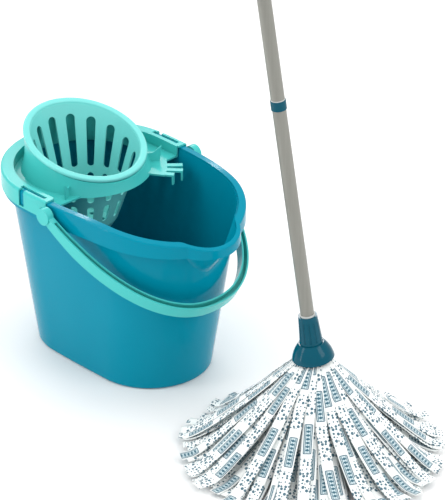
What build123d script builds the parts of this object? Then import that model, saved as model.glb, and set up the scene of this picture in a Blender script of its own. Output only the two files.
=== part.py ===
from build123d import *
import os
from math import cos, sin, tan, radians, degrees, hypot, sqrt, atan2

# Mop set: oval spouted bucket, swinging bail, clip-on wringer and a strip mop on a three-piece handle.
# Millimetres. Origin: centre of the bucket's base, on the floor. +X towards the spout, +Z up.

# ---- bucket ----
BASE_HALF = 58.0            # half the straight run of the oval base
BASE_R = 93.0               # end radius of the base
BASE_SIDE_R = 2000.0        # nearly straight base sides
RIM_Z = 287.5               # top of the rim
REAR_X, REAR_R = -58.0, 131.0     # rear end arc of the wall at the rim
FRONT_X, FRONT_R = 80.0, 120.5    # front end arc of the wall at the rim
SIDE_R = 800.0              # side arc that joins both ends
WALL = 3.0
FLOOR = 3.5
BASE_FILLET = 6.0
RIM_T = 3.0                 # thickness of the rim's top flange
SKIRT_OUT = 8.0             # outside of the rim's skirt, outwards from the wall
SKIRT_T = 2.5
SKIRT_Z = 256.0             # lower edge of the skirt at the sides
RIM_FILLET = 2.4
DIP_X, DIP_R = 42.0, 527.0  # the rim falls towards the spout along this arc
LOW_DIP_X, LOW_DIP_R = 60.0, 880.0    # the skirt's lower edge falls more gently

# ---- spout ----
SPOUT_X = 160.6             # centre of the round spout at the top
SPOUT_R = 61.0
SPOUT_Z = 257.0             # height at which the trough has that radius
SPOUT_BLEND = 14.0          # rounding of the corners between spout and rim
SPOUT_LOW_X = 155.0
SPOUT_LOW_R = 30.0
SPOUT_LOW_Z = 200.0         # where the trough fades into the wall
SPOUT_SKIRT_OUT = 3.4       # the lip overhangs less at the spout

# ---- bail ----
PIVOT_X, PIVOT_Z = -3.0, 273.5
BAIL_DROOP = 31.0           # degrees below level at rest
BAIL_REACH = 242.5
BAIL_HALF = 152.0           # outer half width at the pivots
BAIL_POWER = 2.2            # squareness of the arch
BAIL_DEPTH = 11.0           # radial depth of the channel at the front
BAIL_SIDE_DEPTH = 9.3       # and at the pivots
BAIL_WIDTH = 20.5
BAIL_END_WIDTH = 14.5       # width beside the discs
BAIL_TAPER_X = 75.0         # the width is full from here on
BAIL_WALL = 2.4
GROOVE_FLOOR = -2.0
BAIL_DISC_R = 13.0
DISC_PROUD = 1.8
PIN_R = 5.0
PIN_CLEAR = 0.06
PIN_END = 133.0             # inner end of each pivot pin

# ---- wringer ----
WRINGER_X = -80.0
COLLAR_R = 91.0
COLLAR_FOOT_R = 98.7        # the collar flares to this radius at its foot
COLLAR_FLARE_Z = 318.0      # and is upright above this height
COLLAR_T = 2.6
COLLAR_LOW_Z = 272.0
LIP_Z = 323.0               # lip height on the wringer's axis
LIP_TILT = 17.5             # the lip leans down towards the spout
SEAT = 0.3                  # gap between parts that can be lifted apart
FLANGE_T = 3.0
FLANGE_OUT = 10.7
SKIN = 2.8
FLANGE_SKIRT_Z = 262.5
TROUGH_OUT = -5.8           # outside of the trough wall, from the bucket wall
CLIP_X = -10.0              # front ends of the two clips
DECK_X = -12.0              # front edge of the deck
CLIP_FILLET = 3.6
COMB_Z = 272.0              # underside of the comb between deck and collar
COMB_R = 122.0              # its web's outer radius about the wringer's axis
FINGER_WIDTH = 9.0
HOOK_DROP = 16.0
FINGERS = ((48.5, 145.0), (41.5, 146.0), (35.0, 135.0))    # angle and outer radius of each finger
CUP_TOP_R = 84.5
CUP_LOW_R = 47.0
CUP_LOW_Z = 194.0
CUP_FLOOR_Z = 181.0
CUP_T = 2.5
SLOTS = 15
SLOT_TOP_R = 7.2
SLOT_LOW_R = 5.0
SLOT_TOP_GAP = 20.0         # from the lip's plane down to the slot's top
SLOT_LOW_Z = 246.0
LOW_SLOT_Z = (206.0, 237.0)
LIP_R = 92.5
LIP_T = 6.5
DRAIN_R = 4.0

# ---- mop ----
MOP_X, MOP_Z = 400.0, 147.0       # centre of the bell's lower edge
LEAN = 7.6                        # handle's lean in degrees
LEAN_DIR = Vector(-0.695, -0.719, 0).normalized()
BELL_R = 30.5
BELL_T = 2.4
NECK_LOW_R, NECK_TOP_R = 16.5, 13.5
NECK_TOP = 68.0
SHOULDER = 24.0
FLUTES = 12
TIP_R = 11.0
TIP_LOW = 23.0
TIP_TOP = 70.5
FIT = 0.1
TUBE_R = 9.75
TUBE_T = 0.8
TUBE_LEN = 366.0            # three equal tubes
BAND_R, BAND_LEN = 11.0, 14.0
COLLAR_RING = 1.2           # pale flange of the plug above each band
SPIGOT = 45.0               # length of the plug inside the sleeve
CAP_R = 11.5
CAP_LEN = 62.0
EYE_R = 5.0
EYE_T = 13.0

LAYERS = 6
STRIP_TOP_Z = MOP_Z + 7
BUNDLE_Z = MOP_Z - 4
BUNDLE_R = 22.0
STRIP_REACH = 189.0
STRIP_END = 3.0
LAYER_GAP = 0.6
ANCHOR_R = 7.8
ANCHOR_STEM_R = 3.8


def mirrored(arc):
    """The same arc across the X axis, run backwards."""
    start, mid, end = arc
    return ((end[0], -end[1]), (mid[0], -mid[1]), (start[0], -start[1]))


def closed_outline(arcs):
    return Face(Wire([ThreePointArc(*arc).edge() for arc in arcs]))


def oval_arcs(rear_x, rear_r, front_x, front_r, side_r):
    """Rear and side arc of an oval, each as start, middle and end, and where the front arc starts."""
    to_rear, to_front, span = side_r - rear_r, side_r - front_r, front_x - rear_x
    along = (to_rear**2 - to_front**2 + span**2) / (2 * span)
    drop = sqrt(to_rear**2 - along**2)
    cx = rear_x + along
    rear_t = (rear_x - rear_r * along / to_rear, rear_r * drop / to_rear)
    front_t = (front_x + front_r * (front_x - cx) / to_front, front_r * drop / to_front)
    rear = ((rear_t[0], -rear_t[1]), (rear_x - rear_r, 0), rear_t)
    return rear, (rear_t, (cx, side_r - drop), front_t)


def oval(rear_x, rear_r, front_x, front_r, side_r, z):
    """Face bounded by two end arcs and two tangent side arcs, at height z."""
    rear, side = oval_arcs(rear_x, rear_r, front_x, front_r, side_r)
    front = (side[2], (front_x + front_r, 0), (side[2][0], -side[2][1]))
    return Pos(0, 0, z) * closed_outline([rear, side, front, mirrored(side)])


def base_oval(offset, z=0.0):
    return oval(-BASE_HALF, BASE_R + offset, BASE_HALF, BASE_R + offset, BASE_SIDE_R, z)


def rim_oval(offset, z=RIM_Z):
    return oval(REAR_X, REAR_R + offset, FRONT_X, FRONT_R + offset, SIDE_R + offset, z)


def rim_prism(offset, low, high):
    return extrude(rim_oval(offset, low), amount=high - low, dir=(0, 0, 1))


def toward(start, goal, distance):
    """Point at a distance from start on the way to goal."""
    share = distance / hypot(goal[0] - start[0], goal[1] - start[1])
    return (start[0] + share * (goal[0] - start[0]), start[1] + share * (goal[1] - start[1]))


def rim_plan(offset, spout_offset):
    """Face of the rim seen from above: the oval joined to the round spout by soft corners."""
    rear, side = oval_arcs(REAR_X, REAR_R + offset, FRONT_X, FRONT_R + offset, SIDE_R + offset)
    front_r, spout_r, blend = FRONT_R + offset, SPOUT_R + spout_offset, SPOUT_BLEND - offset
    apart = SPOUT_X - FRONT_X
    along = ((front_r + blend) ** 2 - (spout_r + blend) ** 2 + apart**2) / (2 * apart)
    centre = (FRONT_X + along, sqrt((front_r + blend) ** 2 - along**2))
    on_front = toward((FRONT_X, 0), centre, front_r)
    on_spout = toward((SPOUT_X, 0), centre, spout_r)
    between = ((on_front[0] + on_spout[0]) / 2, (on_front[1] + on_spout[1]) / 2)
    chord = ((side[2][0] + on_front[0]) / 2, (side[2][1] + on_front[1]) / 2)
    front = (side[2], toward((FRONT_X, 0), chord, front_r), on_front)
    corner = (on_front, toward(centre, between, blend), on_spout)
    tip = (on_spout, (SPOUT_X + spout_r, 0), (on_spout[0], -on_spout[1]))
    left_half = [mirrored(corner), mirrored(front), mirrored(side)]
    return closed_outline([rear, side, front, corner, tip] + left_half)


def under_dip(level, start_x, radius, drop):
    """Everything below a surface that is level up to start_x and then falls along an arc."""
    r = radius - drop
    centre_z = level - radius
    far, half = radians(32), radians(16)
    arc = ThreePointArc(
        (start_x, level - drop),
        (start_x + r * sin(half), centre_z + r * cos(half)),
        (start_x + r * sin(far), centre_z + r * cos(far)),
    )
    end = arc @ 1
    rest = Polyline((end.X, end.Y), (end.X, 0), (-300, 0), (-300, level - drop), (start_x, level - drop))
    face = Face(Wire([arc.edge()] + list(rest.edges())))
    return extrude(Plane.XZ * face, amount=200, both=True)


def under_rim(drop):
    return under_dip(RIM_Z, DIP_X, DIP_R, drop)


def plan_prism(offset, spout_offset, low, high):
    return extrude(Pos(0, 0, low) * rim_plan(offset, spout_offset), amount=high - low, dir=(0, 0, 1))


def spout_loft(offset):
    """Oblique cone that widens upwards from the wall into the spout."""
    grow = (RIM_Z + 5 - SPOUT_LOW_Z) / (SPOUT_Z - SPOUT_LOW_Z)
    top_x = SPOUT_LOW_X + grow * (SPOUT_X - SPOUT_LOW_X)
    top_r = SPOUT_LOW_R + grow * (SPOUT_R - SPOUT_LOW_R)
    low = Pos(SPOUT_LOW_X, 0, SPOUT_LOW_Z) * Circle(SPOUT_LOW_R + offset)
    top = Pos(top_x, 0, RIM_Z + 5) * Circle(top_r + offset)
    return loft([low, top], ruled=True)


def bucket_body():
    outer = loft([base_oval(0), rim_oval(0)], ruled=True)
    outer = fillet(outer.edges().group_by(Axis.Z)[0], BASE_FILLET)
    outer += spout_loft(0) & plan_prism(SKIRT_OUT - SKIRT_T, SPOUT_SKIRT_OUT - SKIRT_T, SPOUT_LOW_Z, RIM_Z)
    outer &= under_rim(RIM_T / 2)
    cavity = loft([base_oval(-WALL), rim_oval(-WALL)], ruled=True)
    cavity = split(cavity, Plane.XY.offset(FLOOR), keep=Keep.TOP)
    mouth = plan_prism(-WALL, -WALL, SPOUT_LOW_Z, RIM_Z + 10) - under_rim(RIM_T + 1)
    rim = plan_prism(SKIRT_OUT, SPOUT_SKIRT_OUT, SPOUT_LOW_Z, RIM_Z + 10) & under_rim(0)
    top_edges = rim.faces().filter_by(lambda f: f.normal_at().Z > 0.5).edges()
    kept_edges = top_edges.filter_by(lambda e: abs(e.tangent_at(0.5).Y) < 0.999 or e.center().X > SPOUT_X)
    rim = fillet(kept_edges, RIM_FILLET)
    rim -= under_dip(SKIRT_Z, LOW_DIP_X, LOW_DIP_R, 0)
    rim -= plan_prism(SKIRT_OUT - SKIRT_T, SPOUT_SKIRT_OUT - SKIRT_T, SPOUT_LOW_Z, RIM_Z) & under_rim(RIM_T)
    body = outer + rim
    body -= cavity
    body -= spout_loft(-WALL) & plan_prism(-WALL, -WALL, SPOUT_LOW_Z, RIM_Z + 5)
    body -= mouth
    for side in (-1, 1):
        body -= Pos(PIVOT_X, side * 140, PIVOT_Z) * Rot(90, 0, 0) * Cylinder(PIN_R + PIN_CLEAR, 15)
    return body


def arch_region(side_inset, front_inset, start):
    """Half of a superellipse, cut off at the given distance from the pivot axis."""
    half, reach = BAIL_HALF - side_inset, BAIL_REACH - front_inset
    steps = 16
    points = []
    for i in range(steps + 1):
        a = radians(-90 + 180 * i / steps)
        y = half * abs(sin(a)) ** (2 / BAIL_POWER) * (1 if a > 0 else -1)
        points.append((reach * max(cos(a), 0.0) ** (2 / BAIL_POWER), y))
    points[0], points[-1] = (0, -half), (0, half)
    curve = Spline(*points, tangents=((1, 0), (-1, 0)))
    face = Face(Wire([curve.edge(), Line((0, half), (0, -half)).edge()]))
    return face - Pos(start / 2, 0) * Rectangle(start, 4 * half) if start else face


def bail_taper():
    """Side view of the bail: narrow at the discs, full width further out."""
    end, full = BAIL_END_WIDTH / 2, BAIL_WIDTH / 2
    upper = [(-30, end), (8, end), (BAIL_TAPER_X, full), (300, full)]
    lower = [(x, -z) for x, z in reversed(upper)]
    face = Face(Wire(Polyline(*upper, *lower, close=True).edges()))
    return extrude(Plane.XZ * face, amount=200, both=True)


def bail_handle():
    ring = arch_region(0, 0, 0) - arch_region(BAIL_SIDE_DEPTH, BAIL_DEPTH, 0)
    band = extrude(ring, amount=BAIL_WIDTH / 2, both=True) & bail_taper()
    channel = arch_region(BAIL_WALL, BAIL_WALL, 20) - arch_region(
        BAIL_SIDE_DEPTH - BAIL_WALL, BAIL_DEPTH - BAIL_WALL, 20
    )
    band -= Pos(0, 0, GROOVE_FLOOR) * extrude(channel, amount=BAIL_WIDTH, dir=(0, 0, 1))
    disc_t = BAIL_SIDE_DEPTH + DISC_PROUD
    pin_len = BAIL_HALF - 1 - PIN_END
    for side in (-1, 1):
        disc = Pos(0, side * (BAIL_HALF + DISC_PROUD - disc_t / 2), 0) * Rot(90, 0, 0)
        band += disc * Cylinder(BAIL_DISC_R, disc_t)
        band += Pos(0, side * (PIN_END + pin_len / 2), 0) * Rot(90, 0, 0) * Cylinder(PIN_R, pin_len)
    return Pos(PIVOT_X, 0, PIVOT_Z) * Rot(0, BAIL_DROOP, 0) * band


def lip_height(x):
    return LIP_Z - tan(radians(LIP_TILT)) * (x - WRINGER_X)


def under_lip(solid, drop):
    """Keeps what lies below the lip's tilted plane, lowered by drop."""
    plane = Plane(
        origin=(WRINGER_X, 0, LIP_Z - drop),
        z_dir=(sin(radians(LIP_TILT)), 0, cos(radians(LIP_TILT))),
    )
    return split(solid, plane, keep=Keep.BOTTOM)


def upright(radius, low, high):
    return Pos(WRINGER_X, 0, (low + high) / 2) * Cylinder(radius, high - low)


def behind(x):
    return Pos(x - 200, 0, RIM_Z) * Box(400, 400, 400)


def collar_shape(inset, low):
    """Solid inside the collar's outer face: upright above, flared towards its foot."""
    top, foot = COLLAR_R - inset, COLLAR_FOOT_R - inset
    flare = ThreePointArc((foot, low), (top + 2.4, low + 17), (top, COLLAR_FLARE_Z))
    lines = Polyline((top, COLLAR_FLARE_Z), (top, 400), (0, 400), (0, low), (foot, low))
    face = Plane.XZ * Face(Wire([flare.edge()] + list(lines.edges())))
    return Pos(WRINGER_X, 0, 0) * revolve(face, axis=Axis.Z)


def wringer_frame():
    top = RIM_Z + SEAT
    flange = rim_prism(FLANGE_OUT, FLANGE_SKIRT_Z, top + FLANGE_T)
    flange = fillet(flange.edges().group_by(Axis.Z)[-1], CLIP_FILLET)
    flange -= rim_prism(SKIRT_OUT + SEAT + 0.5, FLANGE_SKIRT_Z, top)
    flange -= rim_prism(TROUGH_OUT, FLANGE_SKIRT_Z, top + FLANGE_T)
    flange &= behind(CLIP_X)
    trough = rim_prism(TROUGH_OUT, COLLAR_LOW_Z, top + FLANGE_T)
    trough -= rim_prism(TROUGH_OUT - SKIN, COLLAR_LOW_Z + SKIN, top + FLANGE_T)
    trough &= behind(DECK_X)
    inner = collar_shape(COLLAR_T, COLLAR_LOW_Z)
    collar = under_lip(collar_shape(0, COLLAR_LOW_Z) - inner, LIP_T)
    frame = flange + trough + collar
    frame += clip_comb()
    for side in (-1, 1):
        frame += gusset(side)
        frame -= clip_cuts(side, top)
    return frame - inner


def clip_comb():
    """Web in front of the deck with three hooked fingers, on the bucket's left only."""
    wedge = Polygon((0, 0), (300, 190), (170, 300), align=None)
    comb = upright(COMB_R, COMB_Z, COMB_Z + SKIN) & Pos(WRINGER_X, 0, COMB_Z) * extrude(wedge, amount=20)
    for angle, reach in FINGERS:
        turn = Pos(WRINGER_X, 0, 0) * Rot(0, 0, angle)
        bar = Box(reach - COMB_R + 4, FINGER_WIDTH, SKIN)
        comb += turn * Pos((reach + COMB_R - 4) / 2, 0, COMB_Z + SKIN / 2) * bar
        hook = Box(SKIN, FINGER_WIDTH, HOOK_DROP)
        comb += turn * Pos(reach - SKIN / 2, 0, COMB_Z + SKIN - HOOK_DROP / 2) * hook
    return comb


def gusset(side):
    """Pointed rib between the deck and the collar."""
    outline = Polyline((93, COMB_Z), (93, 288), (103, 289), (115, 299), (112, COMB_Z), close=True)
    plate = extrude(Plane.XZ * Face(Wire(outline.edges())), amount=1.2, both=True)
    return Pos(WRINGER_X, 0, 0) * Rot(0, 0, side * 57) * plate


def clip_cuts(side, top):
    """Curved slot in the top flange, window behind the springy tab and its rounded front corner."""
    ring = rim_prism(4.2, top - 2, top + 8) - rim_prism(-1.8, top - 2, top + 8)
    slot = ring & Pos(-46, side * 125, top) * Box(54, 60, 30)
    y = side * (REAR_R + SKIRT_OUT + 3)
    window = Pos(-64, y, top - 10) * Box(11, 14, 26)
    corner = Pos(-8, y, FLANGE_SKIRT_Z) * Rot(90, 0, 0) * Cylinder(20, 20)
    return slot + window + corner


def cup_shape(inset, floor_z):
    """Skewed cone from the round foot up to the lip's tilted plane, with a chamfered floor."""
    slant = cos(radians(LIP_TILT))
    plane = Plane(
        origin=(WRINGER_X, 0, LIP_Z - 1),
        x_dir=(slant, 0, -sin(radians(LIP_TILT))),
        z_dir=(sin(radians(LIP_TILT)), 0, slant),
    )
    low = Pos(WRINGER_X, 0, CUP_LOW_Z) * Circle(CUP_LOW_R - inset)
    top = plane * Ellipse((CUP_TOP_R - inset) / slant, CUP_TOP_R - inset)
    foot = Pos(WRINGER_X, 0, floor_z) * Circle(CUP_LOW_R - 8 - inset)
    return loft([low, top], ruled=True) + loft([foot, low], ruled=True)


def slot_cutter(low_z, low_r, high_z, high_r, angle):
    """Tapered slot with round ends, pointing outwards at the given angle."""
    face = make_hull(
        (Pos(0, low_z + low_r) * Circle(low_r)).edges() + (Pos(0, high_z - high_r) * Circle(high_r)).edges()
    )
    prism = Pos(20, 0, 0) * extrude(Plane.YZ * face, amount=100, dir=(1, 0, 0))
    return Pos(WRINGER_X, 0, 0) * Rot(0, 0, angle) * prism


def strainer_basket():
    cup = cup_shape(0, CUP_FLOOR_Z) - cup_shape(CUP_T, CUP_FLOOR_Z + CUP_T)
    cup = under_lip(cup, LIP_T / 2)
    lip = upright(LIP_R, 250, 400) - upright(CUP_TOP_R - CUP_T, 250, 400)
    lip = under_lip(lip, 0)
    lip -= under_lip(upright(LIP_R + 5, 200, 450), LIP_T - 0.02)
    lip = fillet(lip.edges().filter_by(GeomType.ELLIPSE), 2.6)
    basket = cup + lip
    for i in range(SLOTS):
        angle = 360 / SLOTS * (i + 0.5)
        x = WRINGER_X + CUP_TOP_R * cos(radians(angle))
        basket -= slot_cutter(SLOT_LOW_Z, SLOT_LOW_R, lip_height(x) - SLOT_TOP_GAP, SLOT_TOP_R, angle)
        basket -= slot_cutter(LOW_SLOT_Z[0], 3.8, LOW_SLOT_Z[1], SLOT_LOW_R, angle)
    for i in range(6):
        hole = Pos(24, 0, CUP_FLOOR_Z) * Cylinder(DRAIN_R, 12)
        basket -= Pos(WRINGER_X, 0, 0) * Rot(0, 0, 60 * i) * hole
    basket -= upright(DRAIN_R, CUP_FLOOR_Z - 5, CUP_FLOOR_Z + 5)
    return basket


def handle_plane():
    axis = Vector(0, 0, 1) * cos(radians(LEAN)) + LEAN_DIR * sin(radians(LEAN))
    level = Vector(-LEAN_DIR.Y, LEAN_DIR.X, 0)
    return Plane(origin=(MOP_X, 0, MOP_Z), x_dir=level.cross(axis), z_dir=axis)


def turned(*points):
    """Solid of revolution about the handle's axis from (radius, height) corners."""
    return revolve(Plane.XZ * Face(Wire(Polyline(*points, close=True).edges())), axis=Axis.Z)


def sleeve(outer, inner, low, high):
    return Pos(0, 0, (low + high) / 2) * (Cylinder(outer, high - low) - Cylinder(inner, high - low))


def rod(radius, low, high):
    return Pos(0, 0, (low + high) / 2) * Cylinder(radius, high - low)


def bell(inset, low):
    """Domed bell below the neck."""
    r, top = BELL_R - inset, SHOULDER - inset
    dome = ThreePointArc((r, 0), (r - 3.4, top * 0.46), (NECK_LOW_R + 2 - inset, top))
    lines = Polyline((NECK_LOW_R + 2 - inset, top), (0, top), (0, low), (r, low), (r, 0))
    return revolve(Plane.XZ * Face(Wire([dome.edge()] + list(lines.edges()))), axis=Axis.Z)


def mop_socket():
    body = bell(0, -0.01)
    body += turned((0, 5), (NECK_LOW_R, 5), (NECK_LOW_R, SHOULDER), (NECK_TOP_R, NECK_TOP), (0, NECK_TOP))
    body += Pos(0, 0, SHOULDER - 1) * Cylinder(NECK_LOW_R + 2.0, 3.2)
    lean = degrees(atan2(NECK_LOW_R - NECK_TOP_R, NECK_TOP - SHOULDER))
    for i in range(FLUTES):
        flute = Pos(NECK_LOW_R + 0.3, 0, SHOULDER + 5) * Rot(0, -lean, 0) * rod(1.5, 0, 31)
        body -= Rot(0, 0, 360 / FLUTES * i) * flute
    body -= bell(BELL_T, -1)
    roof = turned((ANCHOR_STEM_R, 14), (NECK_LOW_R, 14), (NECK_LOW_R, 22), (ANCHOR_STEM_R, 22))
    body += roof
    body -= rod(TIP_R + FIT, TIP_LOW - 1, NECK_TOP + 1)
    body -= rod(ANCHOR_STEM_R + FIT, 5, TIP_LOW)
    return body


def anchor_plug():
    """Plug that pins the middle of every strip layer up into the bell."""
    return turned(
        (0, -10), (ANCHOR_R, -10), (ANCHOR_R, -6), (ANCHOR_STEM_R, -4),
        (ANCHOR_STEM_R, TIP_LOW - 2), (0, TIP_LOW - 2)
    )


def gather_ring():
    return sleeve(25.4, 23.2, 0.5, 6.0)


def layer_points(k, grow):
    """Control points of the outer face of layer k."""
    return [
        (BUNDLE_R - 2.2 * k + grow, BUNDLE_Z),
        (38 - 4 * k + grow, BUNDLE_Z - 10 - 3 * k + grow),
        (110 - 12 * k + grow, 64 - 6 * k + grow),
        (STRIP_REACH - 17 * k + grow, STRIP_END if k == 0 else 0),
    ]


def strip_layer(k):
    """One bell-shaped layer of strips, resting on the floor inside the layer around it."""
    outer = layer_points(k, 0)
    edges = [Bezier(*outer)]
    foot = (outer[-1][0], 0)
    if k == 0:
        edges.append(Line(outer[-1], foot))
    if k < LAYERS - 1:
        inner = layer_points(k + 1, LAYER_GAP)
        edges += [Line(foot, inner[-1]), Bezier(*inner)]
        edges.append(Polyline(inner[0], (inner[0][0], STRIP_TOP_Z), (outer[0][0], STRIP_TOP_Z), outer[0]))
    else:
        bore, bore_z = ANCHOR_R + 1.8, MOP_Z - 20
        edges.append(
            Polyline(
                foot, (0, 0), (0, bore_z), (bore, bore_z), (bore, STRIP_TOP_Z),
                (outer[0][0], STRIP_TOP_Z), outer[0]
            )
        )
    wire = Wire([e for line in edges for e in line.edges()])
    return Pos(MOP_X, 0, 0) * revolve(Plane.XZ * Face(wire), axis=Axis.Z)


def tube(low, high):
    return sleeve(TUBE_R, TUBE_R - TUBE_T, low, high)


def handle_tip():
    """Ferrule on the lower tube's end, seated in the socket's neck."""
    return sleeve(TIP_R, TUBE_R + FIT, TIP_LOW + 3, TIP_TOP) + rod(TIP_R, TIP_LOW, TIP_LOW + 3)


def joint_sleeve(top):
    """Band at a tube's upper end with a liner that receives the next tube's plug."""
    inner = TUBE_R - TUBE_T
    part = sleeve(BAND_R, inner - 1.6, top, top + BAND_LEN)
    part += sleeve(inner, inner - 1.6, top - 40, top)
    top_circles = part.edges().filter_by(GeomType.CIRCLE).group_by(Axis.Z)[-1]
    return fillet(top_circles.sort_by(SortBy.RADIUS)[-1], 0.8)


def joint_plug(top):
    """Plug pressed into the bottom of the next tube."""
    inner = TUBE_R - TUBE_T
    part = rod(inner - 1.6 - FIT, top + BAND_LEN - SPIGOT, top + BAND_LEN)
    part += rod(TUBE_R + 0.5, top + BAND_LEN, top + BAND_LEN + COLLAR_RING)
    part += rod(inner, top + BAND_LEN + COLLAR_RING, top + BAND_LEN + COLLAR_RING + 25)
    return part


def hanger_cap(top):
    """End cap with a flat eye to hang the mop from."""
    flat = EYE_T
    part = rod(TUBE_R - TUBE_T, top - 30, top) + rod(CAP_R, top, top + CAP_LEN - CAP_R)
    part += Pos(0, 0, top + CAP_LEN - CAP_R) * Sphere(CAP_R)
    for side in (-1, 1):
        part -= Pos(0, side * (flat / 2 + 10), top + CAP_LEN / 2 + 16) * Box(40, 20, CAP_LEN)
    eye_z = top + CAP_LEN - CAP_R - 4
    part -= Pos(0, 0, eye_z) * Rot(90, 0, 0) * Cylinder(EYE_R, 40)
    return part


def handle_parts():
    """Every piece on the leaning axis, in the handle's own coordinates."""
    first_top = TIP_LOW + 3 + TUBE_LEN
    step = BAND_LEN + COLLAR_RING
    second_top = first_top + step + TUBE_LEN
    third_top = second_top + step + TUBE_LEN
    return {
        "mop_socket": mop_socket(),
        "anchor_plug": anchor_plug(),
        "gather_ring": gather_ring(),
        "handle_tip": handle_tip(),
        "tube_lower": tube(TIP_LOW + 3, first_top),
        "joint_sleeve_lower": joint_sleeve(first_top),
        "joint_plug_middle": joint_plug(first_top),
        "tube_middle": tube(first_top + step, second_top),
        "joint_sleeve_middle": joint_sleeve(second_top),
        "joint_plug_upper": joint_plug(second_top),
        "tube_upper": tube(second_top + step, third_top),
        "hanger_cap": hanger_cap(third_top),
    }


def all_parts():
    parts = {
        "bucket_body": bucket_body(),
        "bail_handle": bail_handle(),
        "wringer_frame": wringer_frame(),
        "strainer_basket": strainer_basket(),
    }
    for k in range(LAYERS):
        parts[f"strip_layer_{k + 1}"] = strip_layer(k)
    place = handle_plane().location
    for name, solid in handle_parts().items():
        parts[name] = place * solid
    return parts


os.makedirs("parts", exist_ok=True)
for name, solid in all_parts().items():
    export_step(solid, f"parts/{name}.step")
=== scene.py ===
import math
import random
import bpy
from mathutils import Matrix, Vector


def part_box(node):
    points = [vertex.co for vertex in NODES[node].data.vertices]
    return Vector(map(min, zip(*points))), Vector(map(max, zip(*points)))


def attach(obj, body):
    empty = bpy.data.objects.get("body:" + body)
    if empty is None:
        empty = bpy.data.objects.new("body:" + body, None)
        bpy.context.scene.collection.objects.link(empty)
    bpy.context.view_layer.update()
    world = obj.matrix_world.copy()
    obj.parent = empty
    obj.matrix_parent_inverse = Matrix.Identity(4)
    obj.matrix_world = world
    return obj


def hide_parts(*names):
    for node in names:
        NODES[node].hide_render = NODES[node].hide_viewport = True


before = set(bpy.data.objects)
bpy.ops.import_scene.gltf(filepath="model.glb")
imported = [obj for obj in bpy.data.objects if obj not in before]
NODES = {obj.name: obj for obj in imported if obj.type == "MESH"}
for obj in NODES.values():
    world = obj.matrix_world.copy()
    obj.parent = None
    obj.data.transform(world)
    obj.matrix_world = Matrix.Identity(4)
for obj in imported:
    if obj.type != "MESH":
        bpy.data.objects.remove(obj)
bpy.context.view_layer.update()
MM = 0.001

# ---- camera: a long lens, turned to the bucket's side and looking down ----
AZIMUTH = math.radians(46.0)
ELEVATION = math.radians(28.3)
DISTANCE = 4.5
LENS = 212.2
AIM_RIGHT, AIM_UP = 0.1507, 0.1438    # where the view's middle lies from the bucket's base centre
BETWEEN_BUCKET_AND_MOP = Vector((0.15, 0, 0.25))
BUCKET_SIDE = Vector((0, -0.1, 0.2))


def view_axes():
    """Right, up and towards-the-camera directions of the view."""
    right = Vector((math.cos(AZIMUTH), math.sin(AZIMUTH), 0))
    flat = math.cos(ELEVATION)
    back = Vector((math.sin(AZIMUTH) * flat, -math.cos(AZIMUTH) * flat, math.sin(ELEVATION)))
    return right, back.cross(right), back


RIGHT, UP, BACK = view_axes()


def aim_matrix(place, target):
    """World matrix of a lamp or camera at place that looks at target."""
    turn = (target - place).to_track_quat("-Z", "Y").to_matrix().to_4x4()
    return Matrix.Translation(place) @ turn


def add_camera():
    camera = bpy.data.objects.new("camera", bpy.data.cameras.new("camera"))
    bpy.context.scene.collection.objects.link(camera)
    place = RIGHT * AIM_RIGHT + UP * AIM_UP + BACK * DISTANCE
    turn = Matrix((RIGHT, UP, BACK)).transposed().to_4x4()
    camera.matrix_world = Matrix.Translation(place) @ turn
    camera.data.lens = LENS
    camera.data.sensor_width = 36.0
    camera.data.clip_end = 50.0
    bpy.context.scene.camera = camera


def add_softbox(name, right, forward, up, size, power, target=BETWEEN_BUCKET_AND_MOP):
    """An area lamp placed from the target along the view's right, towards the camera and up."""
    data = bpy.data.lights.new(name, "AREA")
    data.shape = "RECTANGLE"
    data.size, data.size_y = size
    data.energy = power
    lamp = bpy.data.objects.new(name, data)
    bpy.context.scene.collection.objects.link(lamp)
    level = Vector((BACK.x, BACK.y, 0)).normalized()
    place = target + RIGHT * right + level * forward + Vector((0, 0, up))
    lamp.matrix_world = aim_matrix(place, target)


def add_studio():
    add_softbox("softbox_left", -1.6, 0.5, 1.3, (0.5, 1.8), 13)
    add_softbox("softbox_top", 0.1, -0.4, 2.6, (2.4, 2.0), 18)
    add_softbox("softbox_right", 2.0, 1.2, 1.4, (1.2, 1.6), 22)
    add_softbox("softbox_back", -0.4, -3.2, 1.9, (3.2, 0.16), 34)
    add_softbox("strip_low", -0.85, 0.55, -0.15, (0.10, 0.9), 2.2, BUCKET_SIDE)
    world = bpy.data.worlds.new("studio")
    bpy.context.scene.world = world
    world.use_nodes = True
    sky = world.node_tree.nodes["Background"]
    sky.inputs["Color"].default_value = (1.0, 1.0, 1.0, 1.0)
    sky.inputs["Strength"].default_value = 0.86
    bpy.context.scene.view_settings.view_transform = "Standard"


# ---- shader arithmetic ----
class Field:
    """A scalar in a node tree. Arithmetic on it adds Math nodes."""

    def __init__(self, tree, socket):
        self.tree = tree
        self.socket = socket

    def apply(self, operation, *others):
        node = self.tree.nodes.new("ShaderNodeMath")
        node.operation = operation
        for slot, value in enumerate((self, *others)):
            if isinstance(value, Field):
                self.tree.links.new(value.socket, node.inputs[slot])
            else:
                node.inputs[slot].default_value = value
        return Field(self.tree, node.outputs[0])

    def __add__(self, other):
        return self.apply("ADD", other)

    def __sub__(self, other):
        return self.apply("SUBTRACT", other)

    def __mul__(self, other):
        return self.apply("MULTIPLY", other)

    def __abs__(self):
        return self.apply("ABSOLUTE")

    def below(self, other):
        return self.apply("LESS_THAN", other)

    def above(self, other):
        return self.apply("GREATER_THAN", other)

    def largest(self, other):
        return self.apply("MAXIMUM", other)

    def smallest(self, other):
        return self.apply("MINIMUM", other)

    def wrap(self, period):
        return self.apply("FLOORED_MODULO", period)


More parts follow.
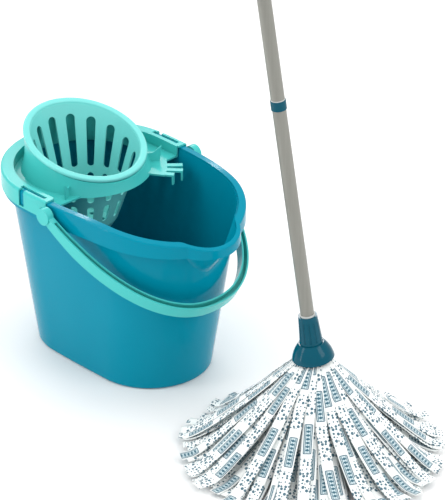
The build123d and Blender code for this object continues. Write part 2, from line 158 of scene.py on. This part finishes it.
def new_material(name):
    material = bpy.data.materials.new(name)
    material.use_nodes = True
    tree = material.node_tree
    return material, tree, tree.nodes["Principled BSDF"]


def object_place(tree, scale=(1, 1, 1)):
    """The mesh's own coordinates, stretched by scale."""
    place = tree.nodes.new("ShaderNodeTexCoord")
    mapping = tree.nodes.new("ShaderNodeMapping")
    mapping.inputs["Scale"].default_value = scale
    tree.links.new(place.outputs["Object"], mapping.inputs["Vector"])
    return mapping.outputs["Vector"]


def noise_field(tree, place, scale, detail=3.0):
    node = tree.nodes.new("ShaderNodeTexNoise")
    node.inputs["Scale"].default_value = scale
    node.inputs["Detail"].default_value = detail
    tree.links.new(place, node.inputs["Vector"])
    return Field(tree, node.outputs["Fac"])


def spread(field, low, high):
    """Maps a noise field from about 0.3..0.7 to low..high."""
    node = field.tree.nodes.new("ShaderNodeMapRange")
    node.inputs["From Min"].default_value = 0.3
    node.inputs["From Max"].default_value = 0.7
    node.inputs["To Min"].default_value = low
    node.inputs["To Max"].default_value = high
    field.tree.links.new(field.socket, node.inputs["Value"])
    return node.outputs["Result"]


def mixed(tree, factor, first, second):
    """Colour mix, where first and second are colours or sockets."""
    node = tree.nodes.new("ShaderNodeMix")
    node.data_type = "RGBA"
    colour_in = [s for s in node.inputs if s.type == "RGBA"]
    for slot, value in zip(colour_in, (first, second)):
        if isinstance(value, tuple):
            slot.default_value = value
        else:
            tree.links.new(value, slot)
    tree.links.new(factor, node.inputs["Factor"])
    return next(s for s in node.outputs if s.type == "RGBA")


def bump(tree, bsdf, height, strength, distance):
    node = tree.nodes.new("ShaderNodeBump")
    node.inputs["Strength"].default_value = strength
    node.inputs["Distance"].default_value = distance
    tree.links.new(height, node.inputs["Height"])
    tree.links.new(node.outputs["Normal"], bsdf.inputs["Normal"])


def linear(red, green, blue):
    """Linear colour from 0-255 display values."""
    channels = []
    for value in (red, green, blue):
        c = value / 255
        channels.append(c / 12.92 if c <= 0.04045 else ((c + 0.055) / 1.055) ** 2.4)
    return (*channels, 1.0)


def moulded_plastic(name, colour, deep, roughness, shine):
    """Injection-moulded plastic: faint flow mottling, uneven gloss and a fine surface grain."""
    material, tree, bsdf = new_material(name)
    place = object_place(tree)
    flow = noise_field(tree, place, 7.0, 2.0)
    tint = mixed(tree, spread(flow, 0.0, 1.0), colour, deep)
    tree.links.new(tint, bsdf.inputs["Base Color"])
    gloss = noise_field(tree, place, 35.0)
    tree.links.new(spread(gloss, roughness * 0.9, roughness * 1.15), bsdf.inputs["Roughness"])
    bsdf.inputs["Specular IOR Level"].default_value = shine
    bsdf.inputs["IOR"].default_value = 1.49
    bump(tree, bsdf, noise_field(tree, place, 500.0, 2.0).socket, 0.03, 0.0003)
    return material


def coated_tube(name, colour, deep):
    """Powder-coated steel tube: satin, with a fine orange-peel skin and faint draw lines."""
    material, tree, bsdf = new_material(name)
    skin = noise_field(tree, object_place(tree), 1400.0, 2.0)
    lines = noise_field(tree, object_place(tree, (1, 1, 0.02)), 260.0, 2.0)
    tree.links.new(mixed(tree, spread(lines, 0.0, 1.0), colour, deep), bsdf.inputs["Base Color"])
    tree.links.new(spread(lines, 0.34, 0.46), bsdf.inputs["Roughness"])
    bsdf.inputs["Metallic"].default_value = 0.15
    bump(tree, bsdf, skin.socket, 0.12, 0.0003)
    return material


# ---- printed non-woven fabric of the strips; lengths in this section are millimetres ----
PRINT_PERIOD = 112.0
BLOCK_MIDDLE, BLOCK_HALF_LENGTH, BLOCK_HALF_WIDTH, BLOCK_CORNER = 30.0, 21.0, 5.4, 1.4
BLOCK_LINE = 0.75
PANEL_EDGE = 1.0               # the printed panel ends this far inside its frame line
PANEL_WASH = 0.45              # strength of the pale ink that fills the panel
MOTIF_PITCH = 5.4
LOZENGE_SLANT, LOZENGE_SIZE = 0.62, 0.40
RAIL_PLACE, RAIL_HALF = BLOCK_HALF_WIDTH * 0.62, 0.5    # the line down each side of the lozenges
DOTS_FROM, DOTS_TO = 58.0, 108.0
DOT_PITCH = 5.4
DOT_SCATTER = 0.6
DOT_SMALLEST, DOT_GROWTH = 0.19, 0.26    # radii as shares of the pitch
INK_COVER = 0.93
INK = linear(4, 84, 106)
INK_PALE = linear(84, 152, 170)
CLOTH = linear(250, 252, 251)
CLOTH_SHADE = linear(236, 242, 240)


def rounded_box(x, y, half_x, half_y, corner):
    """Distance to a rounded rectangle, negative inside."""
    over_x = abs(x) - (half_x - corner)
    over_y = abs(y) - (half_y - corner)
    out_x, out_y = over_x.largest(0.0), over_y.largest(0.0)
    outside = (out_x * out_x + out_y * out_y).apply("SQRT")
    return outside + over_x.largest(over_y).smallest(0.0) - corner


def dots(tree, across, along):
    """Round dots of uneven size, one in each cell of a scattered grid."""
    place = tree.nodes.new("ShaderNodeCombineXYZ")
    for slot, field in zip(place.inputs, (across, along)):
        tree.links.new((field * (1 / DOT_PITCH)).socket, slot)
    cells = tree.nodes.new("ShaderNodeTexVoronoi")
    cells.voronoi_dimensions = "2D"
    cells.inputs["Scale"].default_value = 1.0
    cells.inputs["Randomness"].default_value = DOT_SCATTER
    tree.links.new(place.outputs[0], cells.inputs["Vector"])
    pick = tree.nodes.new("ShaderNodeSeparateColor")
    tree.links.new(cells.outputs["Color"], pick.inputs[0])
    size = Field(tree, pick.outputs[0])
    radius = size * size * DOT_GROWTH + DOT_SMALLEST
    return Field(tree, cells.outputs["Distance"]).below(radius)


def printed_fabric():
    """White non-woven strips printed with dots and framed rows of lozenges."""
    material, tree, bsdf = new_material("printed_fabric")
    place = tree.nodes.new("ShaderNodeAttribute")
    place.attribute_name = "print_place"
    parts = tree.nodes.new("ShaderNodeSeparateXYZ")
    tree.links.new(place.outputs["Vector"], parts.inputs[0])
    across, along = (Field(tree, s) for s in parts.outputs[:2])
    row = along.wrap(PRINT_PERIOD)
    from_middle = row - BLOCK_MIDDLE
    edge = rounded_box(across, from_middle, BLOCK_HALF_WIDTH, BLOCK_HALF_LENGTH, BLOCK_CORNER)
    frame_line = abs(edge).below(BLOCK_LINE)
    inside = edge.below(-PANEL_EDGE)
    step = row.wrap(MOTIF_PITCH) - MOTIF_PITCH / 2
    lozenge = (abs(across) * LOZENGE_SLANT + abs(step)).below(MOTIF_PITCH * LOZENGE_SIZE)
    rail = abs(abs(across) - RAIL_PLACE).below(RAIL_HALF)
    motif = inside * lozenge.largest(rail)
    in_dots = row.above(DOTS_FROM) * row.below(DOTS_TO)
    ink = frame_line.largest(motif).largest(in_dots * dots(tree, across, along))
    pale = inside * PANEL_WASH
    fibres = noise_field(tree, place.outputs["Vector"], 0.9, 4.0)
    cloth = mixed(tree, spread(fibres, 0.0, 1.0), CLOTH, CLOTH_SHADE)
    washed = mixed(tree, pale.socket, cloth, INK_PALE)
    printed = mixed(tree, (ink * INK_COVER).socket, washed, INK)
    tree.links.new(printed, bsdf.inputs["Base Color"])
    bsdf.inputs["Roughness"].default_value = 0.85
    bsdf.inputs["Sheen Weight"].default_value = 0.15
    bump(tree, bsdf, fibres.socket, 0.25, 0.0006)
    return material


# ---- strips of the mop head; lengths in this section are metres ----
LAYERS = 6
STRIPS = 28
STRIP_WIDTH = 16.5 * MM
STRIP_LENGTH = 226.0 * MM
STRIP_THICKNESS = 0.7 * MM
STRIP_CROWN = 2.4 * MM
FIRST_LAYER_SEED = 100
LONG_STEPS, CROSS_STEPS, CURVE_STEPS = 40, 4, 120

FRONT = math.radians(-44)    # the head has slumped this way, so the strips reach further there
WIDE = math.radians(45)      # and it has spread to both sides of this direction
BUNDLE_R, BUNDLE_STEP = 22.5 * MM, 2.2 * MM      # radius where the strips leave the bell
BUNDLE_DROP = 11 * MM                            # below the top of the CAD's strip layers
SHOULDER_OUT, SHOULDER_DROP = 17 * MM, 18 * MM
SLOPE_R, SLOPE_STEP, SLOPE_Z = 98 * MM, 7 * MM, 66 * MM
REACH, SIDE_REACH, FRONT_REACH, REACH_STEP = 166 * MM, 14 * MM, 25 * MM, 5 * MM
LAYER_SAG = 4.5 * MM
FLOOR_GAP, PILE_STEP = 0.6 * MM, 0.95 * MM       # lowest strips' height, and each layer's above it
EVEN_LENGTH, FRONT_LENGTH = 0.975, 0.085         # shares of the strip's length
LAYER_STAGGER, STRIP_STAGGER = 0.37, 0.28        # shares of the gap between strips
DRIFT = 0.10                                     # most sideways turn of a strip's end, in radians
ROLL_TOP, ROLL_TOP_SPREAD, ROLL_END = 7, 2, 9    # twist at the bell and at the end, in degrees
PRINT_SHIFT = 1.2                                # most sideways misplacement of the print, in mm


def bezier(points, t):
    """Point of a cubic curve given by four (radius, height) pairs."""
    s = 1 - t
    weights = (s**3, 3 * s * s * t, 3 * s * t * t, t**3)
    return tuple(sum(w * p[i] for w, p in zip(weights, points)) for i in range(2))


def soft_floor(height, level, blend=6 * MM):
    """Height kept above level with a smooth turn."""
    over = (height - level) / blend
    if over > 6:
        return height
    return level + blend * math.log1p(math.exp(over)) if over > -30 else level


def strip_line(layer, angle, chance):
    """Evenly spaced (radius, height) points from the bell to the strip's end."""
    start_r = BUNDLE_R - BUNDLE_STEP * layer
    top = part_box("strip_layer_1")[1].z - BUNDLE_DROP
    side = math.sin(angle + WIDE) ** 2
    toward = math.cos(angle - FRONT)
    reach = REACH + SIDE_REACH * side + FRONT_REACH * toward - REACH_STEP * layer
    reach += chance.uniform(-6, 6) * MM
    sag = layer * LAYER_SAG + chance.uniform(-3, 4) * MM
    swell = chance.uniform(-5, 5) * MM
    points = (
        (start_r, top),
        (start_r + SHOULDER_OUT - layer * MM, top - SHOULDER_DROP - 2 * layer * MM),
        (SLOPE_R - layer * SLOPE_STEP + swell, SLOPE_Z - sag),
        (reach, (4 - layer) * MM),
    )
    level = FLOOR_GAP + (LAYERS - 1 - layer) * PILE_STEP + chance.uniform(0, 2.0) * MM
    curve = [bezier(points, i / CURVE_STEPS) for i in range(CURVE_STEPS + 1)]
    curve = [(r, soft_floor(z, level)) for r, z in curve]
    length = STRIP_LENGTH * (EVEN_LENGTH + FRONT_LENGTH * toward) * chance.uniform(0.98, 1.01)
    return evenly(curve, length, LONG_STEPS)


def evenly(curve, length, steps):
    """Resamples a polyline to equal steps up to length, running on straight if it is too short."""
    out = [curve[0]]
    step = length / steps
    travelled, index, here = 0.0, 1, curve[0]
    while len(out) <= steps:
        if index < len(curve):
            target = curve[index]
        else:
            before = curve[-2]
            target = (here[0] + (curve[-1][0] - before[0]), here[1])
        gap = math.hypot(target[0] - here[0], target[1] - here[1])
        if travelled + gap >= step:
            share = (step - travelled) / gap
            here = tuple(h + share * (t - h) for h, t in zip(here, target))
            out.append(here)
            travelled = 0.0
        else:
            travelled += gap
            here = target
            index += 1
    return out


def strip_axes(line, row, turn):
    """Outward, sideways and normal directions of a strip at one row of its line."""
    outward = Vector((math.cos(turn), math.sin(turn), 0))
    sideways = Vector((-math.sin(turn), math.cos(turn), 0))
    ahead = line[min(row + 1, LONG_STEPS)]
    behind = line[max(row - 1, 0)]
    along = outward * (ahead[0] - behind[0]) + Vector((0, 0, ahead[1] - behind[1]))
    normal = along.normalized().cross(sideways)
    if normal.z < 0:
        normal.negate()
    return outward, sideways, normal


def strip_grid(line, angle, centre, chance):
    """Points of one strip, row by row, and each point's place in the print."""
    drift = chance.uniform(-DRIFT, DRIFT)
    roll_top = math.radians(ROLL_TOP + chance.uniform(-ROLL_TOP_SPREAD, ROLL_TOP_SPREAD))
    roll_end = math.radians(chance.uniform(-ROLL_END, ROLL_END))
    phase, key = chance.uniform(0, PRINT_PERIOD), chance.random()
    shift = chance.uniform(-PRINT_SHIFT, PRINT_SHIFT)
    points, places = [], []
    for row, (radius, height) in enumerate(line):
        t = row / LONG_STEPS
        outward, sideways, normal = strip_axes(line, row, angle + drift * t * t)
        blend = t * t * (3 - 2 * t)
        roll = roll_top * (1 - blend) + roll_end * blend
        across = sideways * math.cos(roll) + normal * math.sin(roll)
        middle = Vector((0, 0, height)) + outward * radius
        lift = abs(math.sin(roll)) * STRIP_WIDTH / 2 * blend
        for column in range(CROSS_STEPS + 1):
            x = column / CROSS_STEPS - 0.5
            point = middle + across * (x * STRIP_WIDTH) + normal * (0.25 - x * x) * STRIP_CROWN
            if t > 0.5:
                point.z = max(point.z + lift, 0.5 * MM)
            points.append(centre + point)
            places.append((x * STRIP_WIDTH / MM + shift, t * STRIP_LENGTH / MM + phase, key))
    return points, places


def grid_faces(base):
    """Quads of one strip whose first vertex has the index base."""
    row_step = CROSS_STEPS + 1
    faces = []
    for row in range(LONG_STEPS):
        for column in range(CROSS_STEPS):
            a = base + row * row_step + column
            faces.append((a, a + 1, a + row_step + 1, a + row_step))
    return faces


def strip_mesh(name, vertices, faces, places, material):
    mesh = bpy.data.meshes.new(name)
    mesh.from_pydata(vertices, [], faces)
    mesh.update()
    attribute = mesh.attributes.new("print_place", "FLOAT_VECTOR", "POINT")
    attribute.data.foreach_set("vector", [c for p in places for c in p])
    mesh.polygons.foreach_set("use_smooth", [True] * len(mesh.polygons))
    mesh.materials.append(material)
    return mesh


def strip_layer(layer, centre, material):
    """One layer: strips fanned round the bell, as one mesh."""
    chance = random.Random(FIRST_LAYER_SEED + layer)
    vertices, faces, places = [], [], []
    for i in range(STRIPS):
        place = i + chance.uniform(-STRIP_STAGGER, STRIP_STAGGER) + LAYER_STAGGER * layer
        angle = math.tau * place / STRIPS
        line = strip_line(layer, angle, chance)
        faces += grid_faces(len(vertices))
        points, prints = strip_grid(line, angle, centre, chance)
        vertices += points
        places += prints
    name = f"strips_{layer + 1}"
    piece = bpy.data.objects.new(name, strip_mesh(name, vertices, faces, places, material))
    bpy.context.scene.collection.objects.link(piece)
    thick = piece.modifiers.new("thickness", "SOLIDIFY")
    thick.thickness = STRIP_THICKNESS
    thick.offset = 0.0
    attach(piece, "mop_head")
    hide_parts(f"strip_layer_{layer + 1}")


def mop_head(material):
    low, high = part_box("strip_layer_1")
    centre = Vector(((low.x + high.x) / 2, (low.y + high.y) / 2, 0))
    for layer in range(LAYERS):
        strip_layer(layer, centre, material)


# ---- finish of the CAD nodes ----
def dress(names, material):
    for name in names:
        for slot in NODES[name].material_slots:
            slot.material = material


def dress_all():
    bucket = moulded_plastic("bucket_plastic", linear(0, 136, 161), linear(0, 132, 157), 0.13, 0.08)
    mint = moulded_plastic("mint_plastic", linear(70, 191, 187), linear(65, 187, 183), 0.22, 0.25)
    cup = moulded_plastic("cup_plastic", linear(118, 212, 208), linear(112, 208, 204), 0.24, 0.35)
    teal = moulded_plastic("teal_plastic", linear(0, 80, 99), linear(0, 76, 94), 0.12, 0.16)
    pale = moulded_plastic("pale_plastic", linear(205, 208, 206), linear(196, 199, 197), 0.45, 0.4)
    tube = coated_tube("handle_tube", linear(136, 136, 129), linear(130, 130, 123))
    dress(["bucket_body"], bucket)
    dress(["bail_handle", "wringer_frame"], mint)
    dress(["strainer_basket"], cup)
    dress(["mop_socket", "anchor_plug", "gather_ring", "hanger_cap"], teal)
    dress(["joint_sleeve_lower", "joint_sleeve_middle"], teal)
    dress(["handle_tip", "joint_plug_middle", "joint_plug_upper"], pale)
    dress(["tube_lower", "tube_middle", "tube_upper"], tube)


FLOOR_PALE = (0.93, 0.93, 0.93, 1)
FLOOR_SHADE = (0.91, 0.91, 0.91, 1)
FLOOR_HALF = 12.0


def floor_material():
    material, tree, bsdf = new_material("studio_floor")
    grain = noise_field(tree, object_place(tree), 3.0, 2.0)
    tint = mixed(tree, spread(grain, 0.0, 1.0), FLOOR_PALE, FLOOR_SHADE)
    tree.links.new(tint, bsdf.inputs["Base Color"])
    bsdf.inputs["Roughness"].default_value = 0.9
    return material


def add_floor():
    mesh = bpy.data.meshes.new("floor")
    corners = [(x * FLOOR_HALF, y * FLOOR_HALF, 0) for x, y in ((-1, -1), (1, -1), (1, 1), (-1, 1))]
    mesh.from_pydata(corners, [], [(0, 1, 2, 3)])
    mesh.materials.append(floor_material())
    floor = bpy.data.objects.new("floor", mesh)
    bpy.context.scene.collection.objects.link(floor)


add_camera()
add_studio()
add_floor()
dress_all()
mop_head(printed_fabric())
